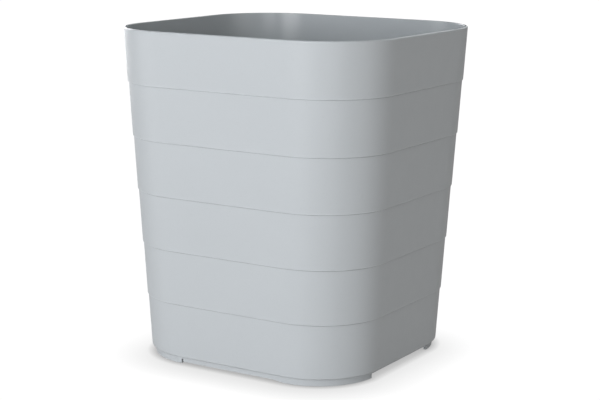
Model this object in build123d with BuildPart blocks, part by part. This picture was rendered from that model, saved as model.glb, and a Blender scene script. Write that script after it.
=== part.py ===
from build123d import *

import os

# Wastebasket: an open-topped bin with a rounded-rectangle plan that narrows towards the floor.
# Six equal bands make the wall. Each one stands a ledge further out than the band below it, and the
# two meet in a lap: a tongue on the lower band stands in a rabbet inside the foot of the upper one,
# which leaves a narrow shadow gap outside. The floor pan laps into the lowest band in the same way,
# and a base ring with four corner feet carries it.
#
# Sizes are in millimetres. The origin is on the floor under the middle of the bin, +Z is up, +X runs
# across the wider side, and the front is the -Y side.

# Driving dimensions of the outside
HEIGHT = 270.0              # floor to rim
RIM_WIDTH = 240.0           # along X
RIM_DEPTH = 232.0           # along Y
RIM_CORNER = 61.0           # plan radius of the rim's corners
TAPER = 16.5                # how far each side comes in from the rim to the heel
CORNER_TAPER = 6.0          # how much the plan radius shrinks from the rim to the heel
HEEL_HEIGHT = 6.0           # floor to the heel, the lowest edge of the wall
BAND_NAMES = ["rim_band", "second_band", "third_band", "fourth_band", "fifth_band", "heel_band"]
LEDGE = 0.7                 # how far a band stands out over the next one down

# Driving dimensions of the wall and its laps
WALL = 2.0
LIP = 1.1                   # thickness of the wall left outside a rabbet
LAP_HEIGHT = 3.0            # height of a tongue, and of the rabbet that takes it
SHADOW_GAP = 0.25           # gap left outside, between the foot of a band and the shoulder below it
FIT_GAP = 0.1               # clearance beside a tongue
RIM_ROUND = 1.3             # edge radius along the outside of the rim
RIM_INNER_ROUND = 0.6       # the same along the inside, which leaves a narrow flat between them
LIP_ROUND = 0.3             # edge radius along the foot of each band
HEEL_ROUND = 1.0            # the same at the heel
OVERSHOOT = 1.0             # how far a cutting block runs past the face that it opens

# Driving dimensions of the floor pan, the base ring and the feet
FLOOR_THICKNESS = 2.2
PAN_RIM = 2.5               # width of the pan's raised rim
PAN_ROUND = 0.7             # radius between the pan's raised rim and its floor
PAN_RIDGE = 2.0             # width of the ridge under the pan, which locates the base ring
PAN_RIDGE_DROP = 1.0
RING_INSET = 2.8            # from the heel in to the base ring
RING_WIDTH = 3.0
RING_THICKNESS = 2.0
RING_LEDGE = 0.4            # how far the ring stands out over the skirts and the feet
SKIRT_CLEARANCE = 1.4       # floor to the skirts, which close the ring at the front and rear
SKIRT_SLIT = 1.6            # gap between a skirt's left end and the foot beside it
SKIRT_RAMP = 11.0           # length over which a skirt's right end slopes down to the foot beside it
SKIRT_RAMP_CLEARANCE = 0.2  # floor to the low end of that slope
FOOT_REACH_X = 49.0         # from the middle of the front or rear to the square-cut end of a foot
FOOT_REACH_Y = 47.0         # the same from the middle of the left or right side
FOOT_TONGUE = 1.0           # width and height of the tongue on a foot
FOOT_ROUND = 0.4            # edge radius where a foot meets the floor

# Sizes worked out from them
BAND_HEIGHT = (HEIGHT - HEEL_HEIGHT) / len(BAND_NAMES)
LEDGES = LEDGE * (len(BAND_NAMES) - 1)
BAND_DRAFT = (TAPER - LEDGES) / len(BAND_NAMES)
BAND_CORNER_DRAFT = (CORNER_TAPER - LEDGES) / len(BAND_NAMES)
HEEL_BAND = len(BAND_NAMES) - 1
TONGUE_INSET = LIP + FIT_GAP - LEDGE
PAN_INSET = LIP + FIT_GAP
RING_BOTTOM = HEEL_HEIGHT - RING_THICKNESS
FOOT_INSET = RING_INSET + RING_LEDGE
FOOT_WIDTH = RING_WIDTH - RING_LEDGE
TONGUE_EDGE = RING_INSET + (RING_WIDTH - FOOT_TONGUE) / 2
SKIRT_LEFT = SKIRT_SLIT - FOOT_REACH_X

# Each foot's sides of the middle along X and Y
FEET = {
    "foot_front_left": (-1, -1),
    "foot_front_right": (1, -1),
    "foot_rear_left": (-1, 1),
    "foot_rear_right": (1, 1),
}


def outline(band, drop, inset=0.0):
    """Width, depth and corner radius of a band's wall, drop below its top and inset from outside."""
    share = drop / BAND_HEIGHT
    side = band * (BAND_DRAFT + LEDGE) + share * BAND_DRAFT + inset
    corner = band * (BAND_CORNER_DRAFT + LEDGE) + share * BAND_CORNER_DRAFT + inset
    return RIM_WIDTH - 2 * side, RIM_DEPTH - 2 * side, RIM_CORNER - corner


def tapered_block(band, top, bottom, inset=0.0, mode=Mode.ADD):
    """Add or cut a block that follows a band's wall from top to bottom, both drops below its top."""
    band_top = HEIGHT - band * BAND_HEIGHT
    with BuildSketch(Plane.XY.offset(band_top - bottom)) as lower:
        RectangleRounded(*outline(band, bottom, inset))
    with BuildSketch(Plane.XY.offset(band_top - top)) as upper:
        RectangleRounded(*outline(band, top, inset))
    loft(sections=[lower.sketch, upper.sketch], ruled=True, mode=mode)


def make_band(name, band):
    """A tapering ring with a tongue on top, except on the rim band, and a rabbet inside its foot."""
    tongue = LAP_HEIGHT if band else 0.0
    gap = 0.0 if band == HEEL_BAND else SHADOW_GAP
    with BuildPart() as ring:
        tapered_block(band, 0.0, BAND_HEIGHT - gap)
        if band:
            tapered_block(band, -tongue, 0.0, TONGUE_INSET)
        tapered_block(band, -tongue - OVERSHOOT, BAND_HEIGHT + OVERSHOOT, WALL, Mode.SUBTRACT)
        tapered_block(band, BAND_HEIGHT - LAP_HEIGHT, BAND_HEIGHT + OVERSHOOT, LIP, Mode.SUBTRACT)
        foot = ring.faces().sort_by(Axis.Z)[0]
        fillet(foot.outer_wire().edges(), HEEL_ROUND if band == HEEL_BAND else LIP_ROUND)
        if not band:
            rim = ring.faces().sort_by(Axis.Z)[-1]
            inner_edges = rim.inner_wires()[0].edges()
            fillet(rim.outer_wire().edges(), RIM_ROUND)
            fillet(inner_edges, RIM_INNER_ROUND)
    ring.part.label = name
    export_step(ring.part, f"parts/{name}.step")


def base_loop(inset, width):
    """Draw a closed loop of the given width that follows the heel, inset from it."""
    RectangleRounded(*outline(HEEL_BAND, BAND_HEIGHT, inset))
    RectangleRounded(*outline(HEEL_BAND, BAND_HEIGHT, inset + width), mode=Mode.SUBTRACT)


def corner_stretch(x_side, y_side, inset, width):
    """Draw the stretch of such a loop that turns one corner, with square-cut ends."""
    base_loop(inset, width)
    middle_x = FOOT_REACH_X + RIM_WIDTH / 2
    middle_y = FOOT_REACH_Y + RIM_WIDTH / 2
    with Locations((x_side * middle_x, y_side * middle_y)):
        Rectangle(RIM_WIDTH, RIM_WIDTH, mode=Mode.INTERSECT)


def make_floor_pan(name):
    """The floor, with a raised rim that stands in the heel band's rabbet and a ridge underneath."""
    with BuildPart() as pan:
        tapered_block(HEEL_BAND, BAND_HEIGHT - LAP_HEIGHT, BAND_HEIGHT, PAN_INSET)
        tapered_block(
            HEEL_BAND,
            BAND_HEIGHT - LAP_HEIGHT - OVERSHOOT,
            BAND_HEIGHT - FLOOR_THICKNESS,
            PAN_INSET + PAN_RIM,
            Mode.SUBTRACT,
        )
        floor = pan.faces().filter_by(Plane.XY).sort_by(Axis.Z)[-2]
        fillet(floor.edges(), PAN_ROUND)
        with BuildSketch(Plane.XY.offset(HEEL_HEIGHT)):
            base_loop(RING_INSET + RING_WIDTH + FIT_GAP, PAN_RIDGE)
        extrude(amount=-PAN_RIDGE_DROP)
    pan.part.label = name
    export_step(pan.part, f"parts/{name}.step")


def make_base_ring(name):
    """A flat ring under the pan, with a skirt at the front and rear and a groove for each foot."""
    with BuildPart() as ring:
        with BuildSketch(Plane.XY.offset(RING_BOTTOM)):
            base_loop(RING_INSET, RING_WIDTH)
        extrude(amount=RING_THICKNESS)
        with BuildSketch(Plane.XY.offset(RING_BOTTOM)):
            base_loop(FOOT_INSET, FOOT_WIDTH)
            with Locations((SKIRT_LEFT, 0.0)):
                Rectangle(
                    FOOT_REACH_X - SKIRT_LEFT,
                    RIM_DEPTH,
                    align=(Align.MIN, Align.CENTER),
                    mode=Mode.INTERSECT,
                )
        extrude(amount=SKIRT_RAMP_CLEARANCE - RING_BOTTOM)
        with BuildSketch(Plane.XZ):
            with BuildLine():
                Polyline(
                    (SKIRT_LEFT - OVERSHOOT, 0.0),
                    (SKIRT_LEFT - OVERSHOOT, SKIRT_CLEARANCE),
                    (FOOT_REACH_X - SKIRT_RAMP, SKIRT_CLEARANCE),
                    (FOOT_REACH_X, SKIRT_RAMP_CLEARANCE),
                    (FOOT_REACH_X, 0.0),
                    close=True,
                )
            make_face()
        extrude(amount=RIM_DEPTH, both=True, mode=Mode.SUBTRACT)
        with BuildSketch(Plane.XY.offset(RING_BOTTOM)):
            base_loop(TONGUE_EDGE - FIT_GAP, FOOT_TONGUE + 2 * FIT_GAP)
            Rectangle(2 * (FOOT_REACH_X - FIT_GAP), RIM_DEPTH, mode=Mode.SUBTRACT)
            Rectangle(RIM_WIDTH, 2 * (FOOT_REACH_Y - FIT_GAP), mode=Mode.SUBTRACT)
        extrude(amount=FOOT_TONGUE, mode=Mode.SUBTRACT)
    ring.part.label = name
    export_step(ring.part, f"parts/{name}.step")


def make_foot(name, x_side, y_side):
    """A foot that turns one corner under the base ring, with a tongue that stands in its groove."""
    with BuildPart() as foot:
        with BuildSketch():
            corner_stretch(x_side, y_side, FOOT_INSET, FOOT_WIDTH)
        extrude(amount=RING_BOTTOM)
        fillet(foot.faces().sort_by(Axis.Z)[0].edges(), FOOT_ROUND)
        with BuildSketch(Plane.XY.offset(RING_BOTTOM)):
            corner_stretch(x_side, y_side, TONGUE_EDGE, FOOT_TONGUE)
        extrude(amount=FOOT_TONGUE)
    foot.part.label = name
    export_step(foot.part, f"parts/{name}.step")


os.makedirs("parts", exist_ok=True)

for number, band_name in enumerate(BAND_NAMES):
    make_band(band_name, number)

make_floor_pan("floor_pan")
make_base_ring("base_ring")

for foot_name, (x_side, y_side) in FEET.items():
    make_foot(foot_name, x_side, y_side)
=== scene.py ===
import math

import bpy
from mathutils import Matrix, Vector


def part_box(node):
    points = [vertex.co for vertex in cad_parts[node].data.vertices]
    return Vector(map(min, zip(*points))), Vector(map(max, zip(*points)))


# The looks of the wastebasket, built around its CAD frame. Lengths are metres in the CAD's frame: the
# floor is z = 0, +X runs across the wider side, and the front is the -Y side. The CAD nodes keep their
# shape and get procedural moulded plastic, on a white studio floor.

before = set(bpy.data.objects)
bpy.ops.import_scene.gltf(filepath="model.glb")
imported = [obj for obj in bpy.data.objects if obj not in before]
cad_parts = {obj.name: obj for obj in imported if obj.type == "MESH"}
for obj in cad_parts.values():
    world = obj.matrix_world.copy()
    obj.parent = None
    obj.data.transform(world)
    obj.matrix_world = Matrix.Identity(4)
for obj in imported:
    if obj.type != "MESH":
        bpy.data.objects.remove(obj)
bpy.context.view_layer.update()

# Camera, on the side of the near corner
CAMERA_DISTANCE = 1.2801                    # from the basket's axis
CAMERA_AZIMUTH = math.radians(31.66)        # round from the front towards +X
CAMERA_HEIGHT = 0.3747
CAMERA_HEADING = math.radians(31.53)
CAMERA_TILT = math.radians(11.04)           # down from level
CAMERA_ROLL = math.radians(0.50)
CAMERA_LENS = 93.89                         # millimetres
CAMERA_SENSOR = 36.0                        # millimetres

# Studio
FLOOR_RADIUS = 8.0
FLOOR_STRENGTH = 1.03                       # radiance that the camera sees, where 1 is white
BOUNCE_STRENGTH = 0.38                      # radiance that lights the basket from below
BOUNCE_COLOUR = (1.0, 0.97, 0.94)
BOUNCE_DROP = 0.001                         # how far the bouncing floor lies under the seen one
# The floors' shade round the basket is painted into their glow from how near the basket is; it is not
# cast by the softboxes
SHADE_REACH = 0.042                         # reach of the soft shade round the basket
SHADE_AMOUNT = 0.40                         # how dark it gets, from 0 for none to 1 for black
SHADE_LEAN = Vector((-0.30, 0.49, 0.82))    # leans the shade out to the front, as if lit from behind
CONTACT_REACH = 0.008                       # reach of the tighter shade where the basket stands
CONTACT_AMOUNT = 0.5
SHADE_SAMPLES = 16
BACKDROP_BEND = 3.0                         # radius of the bend from the floor up to the backdrop
BACKDROP_TURNS = 96                         # steps round the floor
BACKDROP_STEPS = 12                         # steps up the bend
WORLD_STRENGTH = 0.0                        # the surround gives no light
LIGHT_AIM = Vector((0.0, 0.0, 0.13))
LIGHT_DISTANCE = 2.2

NEUTRAL = (0.99, 0.98, 1.0)
COOL = (0.94, 0.98, 1.0)
WARM = (1.0, 0.965, 0.94)

# Each softbox: name, azimuth round from the front towards +X and elevation (degrees), width and height
# (metres), power (watts), and colour
LIGHTS = [
    ("front", 0.0, 7.0, 1.2, 1.1, 25.5, NEUTRAL),
    ("left", -52.0, 6.0, 1.2, 1.2, 15.0, NEUTRAL),
    ("low_right", 40.0, 1.8, 0.8, 0.5, 8.4, NEUTRAL),
    ("right", 90.0, 12.0, 1.2, 1.2, 5.6, WARM),
    ("high_front", 0.0, 30.0, 1.2, 1.2, 11.5, COOL),
    ("high_right", 90.0, 60.0, 1.2, 1.2, 6.5, WARM),
    ("back", 180.0, 30.0, 1.2, 1.2, 13.0, COOL),
    ("back_left", -120.0, 12.0, 1.2, 1.2, 24.0, NEUTRAL),
]

# Plastic
WALL_COLOUR = (0.455, 0.487, 0.505)
BASE_COLOUR = (0.445, 0.477, 0.495)
PLASTIC_IOR = 1.49
WALL_ROUGHNESS = (0.40, 0.50)
BASE_ROUGHNESS = (0.46, 0.58)
INNER_ROUGHNESS = 0.25                      # inside, where the mould is polished
INNER_TURN = 0.01                           # metres either side of edge-on over which the finish changes
GRAIN_SIZE = 0.0006                         # pitch of the moulded grain
GRAIN_DEPTH = 0.00003
FLOW_SIZE = 0.045                           # size of the faint hollows and flow marks in a moulded wall
FLOW_DEPTH = 0.00012
SPECKLE_SIZE = 0.0015
PATCH_SIZE = 0.012                          # size of the patches that are rubbed more or less
FLOW_TINT = 0.012                           # how far the colour varies, as shares of itself
SPECKLE_TINT = 0.035
# How much lighter rubbed edges are; on the lips' lower edges just above each joint this is also a
# painted highlight
WEAR_AND_HIGHLIGHT_TINT = 0.10
WEAR_POLISH = 0.08                          # how much smoother a rubbed edge is
FLOW_DETAIL = 2.0                           # octaves of each noise
SPECKLE_DETAIL = 3.0
GRAIN_DETAIL = 1.0
PATCH_DETAIL = 4.0
RUBBED_PATCHES = (0.35, 0.6)                # span of the patch noise over which rubbing sets in
MATTE_PATCHES = (0.3, 0.7)                  # span over which the roughness goes from low to high
SPECKLES = (0.55, 0.8)                      # span of the speckle noise over which a speckle darkens

# A Mix node's sockets for colours, by their places among its inputs and outputs
MIX_FACTOR = 0
MIX_FIRST = 6
MIX_SECOND = 7
MIX_RESULT = 2

# Where edges are rubbed, with a painted highlight on the lips' lower edges, and where shade and light
# are painted at the joints. The bands' outer walls all end just above a joint.
JOINT_HEIGHTS = sorted(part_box(name)[0].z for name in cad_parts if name.endswith("_band"))
HEEL_Z = JOINT_HEIGHTS[0]
RIM_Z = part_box("rim_band")[1].z
BAND_PITCH = (RIM_Z - HEEL_Z) / len(JOINT_HEIGHTS)
PAINTED_JOINT_CORE = 0.0002                         # distance from a joint up to which the painted shade and light are full
PAINTED_JOINT_REACH = 0.0005                        # distance at which it is gone
PAINTED_JOINT_SHADES = (0.86, 1.06)                 # shades of the plastic at the joints, from painted shade at the heel to painted light near the rim
EDGE_CORE = 0.0006                          # height above a joint up to which an edge is fully rubbed and carries its full painted highlight
EDGE_REACH = 0.0016                         # height at which the rubbing and the painted highlight end
RIM_REACH = 0.0016                          # depth below the rim that is rubbed
SCUFF_REACH = 0.0015                        # height above the floor that is scuffed


def make_camera():
    """A long-lens camera a little above the rim, looking down over the near corner."""
    data = bpy.data.cameras.new("camera")
    data.lens = CAMERA_LENS
    data.sensor_width = CAMERA_SENSOR
    camera = bpy.data.objects.new("camera", data)
    bpy.context.scene.collection.objects.link(camera)
    forward = Vector((
        -math.sin(CAMERA_HEADING) * math.cos(CAMERA_TILT),
        math.cos(CAMERA_HEADING) * math.cos(CAMERA_TILT),
        -math.sin(CAMERA_TILT),
    ))
    level = Vector((math.cos(CAMERA_HEADING), math.sin(CAMERA_HEADING), 0.0))
    upright = level.cross(forward)
    right = level * math.cos(CAMERA_ROLL) + upright * math.sin(CAMERA_ROLL)
    up = upright * math.cos(CAMERA_ROLL) - level * math.sin(CAMERA_ROLL)
    turn = Matrix((right, up, -forward)).transposed().to_4x4()
    place = Vector((
        CAMERA_DISTANCE * math.sin(CAMERA_AZIMUTH),
        -CAMERA_DISTANCE * math.cos(CAMERA_AZIMUTH),
        CAMERA_HEIGHT,
    ))
    camera.matrix_world = Matrix.Translation(place) @ turn
    bpy.context.scene.camera = camera


def make_light(name, azimuth, elevation, width, height, power, colour):
    """A softbox that faces the basket."""
    data = bpy.data.lights.new(name, "AREA")
    data.shape = "RECTANGLE"
    data.size = width
    data.size_y = height
    data.energy = power
    data.color = colour
    light = bpy.data.objects.new(name, data)
    bpy.context.scene.collection.objects.link(light)
    turn, rise = math.radians(azimuth), math.radians(elevation)
    away = Vector((
        math.sin(turn) * math.cos(rise),
        -math.cos(turn) * math.cos(rise),
        math.sin(rise),
    ))
    light.location = LIGHT_AIM + away * LIGHT_DISTANCE
    light.rotation_euler = away.to_track_quat("Z", "Y").to_euler()


def make_world():
    """A surround that gives no light, so that only the softboxes and the floor light the basket."""
    world = bpy.data.worlds.new("studio")
    world.use_nodes = True
    background = world.node_tree.nodes["Background"]
    background.inputs["Color"].default_value = (1.0, 1.0, 1.0, 1.0)
    background.inputs["Strength"].default_value = WORLD_STRENGTH
    bpy.context.scene.world = world


class Graph:
    """A material's node tree, with short calls to add and join nodes."""

    def __init__(self, name):
        self.material = bpy.data.materials.new(name)
        self.material.use_nodes = True
        self.nodes = self.material.node_tree.nodes
        self.links = self.material.node_tree.links
        self.shader = self.nodes["Principled BSDF"]

    def add(self, kind, settings=None, **inputs):
        """Add a node with its settings, and set or link its inputs, named with _ for a space."""
        node = self.nodes.new("ShaderNode" + kind)
        for setting, value in (settings or {}).items():
            setattr(node, setting, value)
        for label, value in inputs.items():
            self.feed(node.inputs[label.replace("_", " ")], value)
        return node

    def feed(self, socket, value):
        """Link the socket to another node's output, or set it to a constant."""
        if isinstance(value, bpy.types.NodeSocket):
            self.links.new(value, socket)
        else:
            socket.default_value = value

    def math(self, operation, *values):
        node = self.add("Math", {"operation": operation})
        for socket, value in zip(node.inputs, values):
            self.feed(socket, value)
        return node.outputs["Value"]

    def vector_math(self, operation, first, second):
        node = self.add("VectorMath", {"operation": operation})
        self.feed(node.inputs[0], first)
        self.feed(node.inputs[1], second)
        return node

    def step(self, value, start, end, low=0.0, high=1.0):
        """A smooth step from low, where value is at start, to high, where it is at end."""
        node = self.add(
            "MapRange",
            {"interpolation_type": "SMOOTHSTEP"},
            Value=value, From_Min=start, From_Max=end, To_Min=low, To_Max=high,
        )
        return node.outputs["Result"]

    def span(self, value, low):
        """A value from 0 to 1 squeezed into the span from low to 1."""
        node = self.add("MapRange", Value=value, To_Min=low, To_Max=1.0)
        return node.outputs["Result"]

    def noise(self, place, size, detail):
        """Noise from 0 to 1 with features of about the given size."""
        node = self.add("TexNoise", Vector=place, Scale=1.0 / size, Detail=detail)
        return node.outputs["Fac"]

    def mix(self, factor, first, second):
        """Mix two colours."""
        node = self.add("Mix", {"data_type": "RGBA"})
        self.feed(node.inputs[MIX_FACTOR], factor)
        self.feed(node.inputs[MIX_FIRST], first)
        self.feed(node.inputs[MIX_SECOND], second)
        return node.outputs[MIX_RESULT]

    def bump(self, height, depth, below=None):
        """Raise the surface by depth times height, on top of another bump."""
        node = self.add("Bump", Height=height, Distance=depth, Strength=1.0)
        if below:
            self.feed(node.inputs["Normal"], below)
        return node.outputs["Normal"]


def shade(colour, factor):
    """A colour made lighter or darker, as RGBA."""
    return tuple(part * factor for part in colour) + (1.0,)


def make_plastic(name, colour, roughness):
    """Satin moulded polypropylene, with fine grain outside and a smoother, polished inside.

    It has faint flow marks and rubbed edges, with a painted highlight along each lip's lower edge.
    Painted shade darkens the heel and lower joints and painted light lifts the upper ones, which sets
    how dark the ledge shadows look.
    A point is outside where its surface faces away from the middle of the mouth.
    """
    graph = Graph(name)
    coordinates = graph.add("TexCoord").outputs
    place = coordinates["Object"]
    height = graph.add("SeparateXYZ", Vector=place).outputs["Z"]
    flow = graph.noise(place, FLOW_SIZE, FLOW_DETAIL)
    speckle = graph.noise(place, SPECKLE_SIZE, SPECKLE_DETAIL)
    grain = graph.noise(place, GRAIN_SIZE, GRAIN_DETAIL)
    patches = graph.noise(place, PATCH_SIZE, PATCH_DETAIL)

    raised = graph.math("SUBTRACT", height, HEEL_Z)
    above_joint = graph.math("FLOORED_MODULO", raised, BAND_PITCH)
    off_joint = graph.math("PINGPONG", raised, BAND_PITCH / 2)
    # Painted shade and light at each joint: darker at the heel and lower joints, lighter at the upper
    # ones, setting how dark the ledge shadows look
    painted_joint_mask = graph.step(off_joint, PAINTED_JOINT_REACH, PAINTED_JOINT_CORE)
    # The lip's lower edge just above each joint is rubbed and also carries a painted highlight
    edge = graph.step(above_joint, EDGE_REACH, EDGE_CORE)
    rim = graph.step(height, RIM_Z - RIM_REACH, RIM_Z)
    scuff = graph.step(height, SCUFF_REACH, 0.0)
    from_mouth = graph.vector_math("SUBTRACT", place, (0.0, 0.0, RIM_Z)).outputs["Vector"]
    facing = graph.vector_math("DOT_PRODUCT", from_mouth, coordinates["Normal"]).outputs["Value"]
    outside = graph.step(facing, -INNER_TURN, INNER_TURN)
    rubbed = graph.math("MAXIMUM", graph.math("MAXIMUM", edge, rim), scuff)
    wear_and_highlight_mask = graph.math("MULTIPLY", rubbed, graph.step(patches, *RUBBED_PATCHES))

    flowing = graph.mix(flow, shade(colour, 1.0 - FLOW_TINT), shade(colour, 1.0 + FLOW_TINT))
    spots = graph.step(speckle, *SPECKLES)
    spotted = graph.mix(spots, flowing, shade(colour, 1.0 - SPECKLE_TINT))
    # Rubbed edges made lighter: wear at the rim and floor, and wear plus a painted highlight on the lips
    worn_and_highlit_colour = graph.mix(wear_and_highlight_mask, spotted, shade(colour, 1.0 + WEAR_AND_HIGHLIGHT_TINT))
    up = graph.step(height, HEEL_Z, RIM_Z)
    # The joints' colour: painted shade low down, painted light high up
    painted_joint_colour = graph.mix(up, shade(colour, PAINTED_JOINT_SHADES[0]), shade(colour, PAINTED_JOINT_SHADES[1]))
    colour_with_painted_joints = graph.mix(painted_joint_mask, worn_and_highlit_colour, painted_joint_colour)
    graph.feed(graph.shader.inputs["Base Color"], colour_with_painted_joints)

    satin = graph.step(patches, *MATTE_PATCHES, *roughness)
    rougher = graph.math("SUBTRACT", satin, INNER_ROUGHNESS)
    finish = graph.math("MULTIPLY_ADD", outside, rougher, INNER_ROUGHNESS)
    polish = graph.math("MULTIPLY", wear_and_highlight_mask, WEAR_POLISH)
    graph.feed(graph.shader.inputs["Roughness"], graph.math("SUBTRACT", finish, polish))
    graph.feed(graph.shader.inputs["IOR"], PLASTIC_IOR)
    waves = graph.bump(flow, FLOW_DEPTH)
    rough_grain = graph.math("MULTIPLY", grain, outside)
    graph.feed(graph.shader.inputs["Normal"], graph.bump(rough_grain, GRAIN_DEPTH, waves))
    return graph.material


def make_paper(name, strength, colour=(1.0, 1.0, 1.0), shaded=True):
    """White studio paper that glows evenly, and darkens softly under and beside what stands on it with a
    painted shade worked out from how near things are.
    """
    graph = Graph(name)
    graph.nodes.remove(graph.shader)
    glow = graph.add("Emission", Strength=strength)
    graph.feed(graph.nodes["Material Output"].inputs["Surface"], glow.outputs["Emission"])
    if shaded:
        lean = graph.add("CombineXYZ", X=SHADE_LEAN.x, Y=SHADE_LEAN.y, Z=SHADE_LEAN.z)
        wide = graph.add(
            "AmbientOcclusion",
            {"samples": SHADE_SAMPLES},
            Distance=SHADE_REACH, Normal=lean.outputs["Vector"],
        )
        tight = graph.add("AmbientOcclusion", {"samples": SHADE_SAMPLES}, Distance=CONTACT_REACH)
        soft = graph.span(wide.outputs["AO"], 1.0 - SHADE_AMOUNT)
        close = graph.span(tight.outputs["AO"], 1.0 - CONTACT_AMOUNT)
        # The painted shade, multiplied into the glow's colour
        lit = graph.math("MULTIPLY", soft, close)
        tint = graph.add("VectorMath", {"operation": "SCALE"}, Scale=lit)
        graph.feed(tint.inputs[0], colour)
        graph.feed(glow.inputs["Color"], tint.outputs["Vector"])
    return graph.material


def make_ring_mesh(name, profile):
    """A surface turned round Z from a profile of (radius, height) points."""
    points = []
    for radius, height in profile:
        for step in range(BACKDROP_TURNS):
            turn = 2 * math.pi * step / BACKDROP_TURNS
            points.append((radius * math.cos(turn), radius * math.sin(turn), height))
    faces = []
    for row in range(len(profile) - 1):
        for step in range(BACKDROP_TURNS):
            after = (step + 1) % BACKDROP_TURNS
            low, high = row * BACKDROP_TURNS, (row + 1) * BACKDROP_TURNS
            faces.append((low + step, low + after, high + after, high + step))
    mesh = bpy.data.meshes.new(name)
    mesh.from_pydata(points, [], faces)
    mesh.polygons.foreach_set("use_smooth", [True] * len(mesh.polygons))
    return mesh


def make_disc_mesh(name, radius):
    """A flat disc on the floor, facing up."""
    turns = [2 * math.pi * step / BACKDROP_TURNS for step in range(BACKDROP_TURNS)]
    mesh = bpy.data.meshes.new(name)
    points = [(radius * math.cos(turn), radius * math.sin(turn), 0.0) for turn in turns]
    mesh.from_pydata(points, [], [tuple(range(BACKDROP_TURNS))])
    return mesh


def make_stage(name, mesh, material):
    """A piece of the studio, which isn't part of the object. It casts no shadow."""
    mesh.materials.append(material)
    stage = bpy.data.objects.new(name, mesh)
    stage.visible_shadow = False
    bpy.context.scene.collection.objects.link(stage)
    return stage


def make_studio():
    """The floor that is seen, the dimmer one that lights the basket from below, and a backdrop."""
    floor = make_stage(
        "floor",
        make_disc_mesh("floor", FLOOR_RADIUS),
        make_paper("floor_paper", FLOOR_STRENGTH),
    )
    floor.visible_diffuse = False
    floor.visible_glossy = False

    bounce = make_stage(
        "floor_bounce",
        make_disc_mesh("floor_bounce", FLOOR_RADIUS),
        make_paper("bounce_paper", BOUNCE_STRENGTH, BOUNCE_COLOUR),
    )
    bounce.location.z = -BOUNCE_DROP
    bounce.visible_camera = False

    profile = []
    for step in range(BACKDROP_STEPS + 1):
        bend = math.pi / 2 * step / BACKDROP_STEPS
        out = FLOOR_RADIUS + BACKDROP_BEND * math.sin(bend)
        profile.append((out, BACKDROP_BEND * (1 - math.cos(bend))))
    profile.append((FLOOR_RADIUS + BACKDROP_BEND, 2 * BACKDROP_BEND))
    backdrop = make_stage(
        "backdrop",
        make_ring_mesh("backdrop", profile),
        make_paper("backdrop_paper", FLOOR_STRENGTH, shaded=False),
    )
    backdrop.visible_diffuse = False
    backdrop.visible_glossy = False


def dress_nodes():
    """Give every CAD node its plastic."""
    wall_plastic = make_plastic("wall_plastic", WALL_COLOUR, WALL_ROUGHNESS)
    base_plastic = make_plastic("base_plastic", BASE_COLOUR, BASE_ROUGHNESS)
    for name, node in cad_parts.items():
        node.data.materials.clear()
        node.data.materials.append(wall_plastic if name.endswith("_band") else base_plastic)


make_camera()
make_world()
make_studio()
for light in LIGHTS:
    make_light(*light)
dress_nodes()
bpy.context.scene.view_settings.view_transform = "Standard"
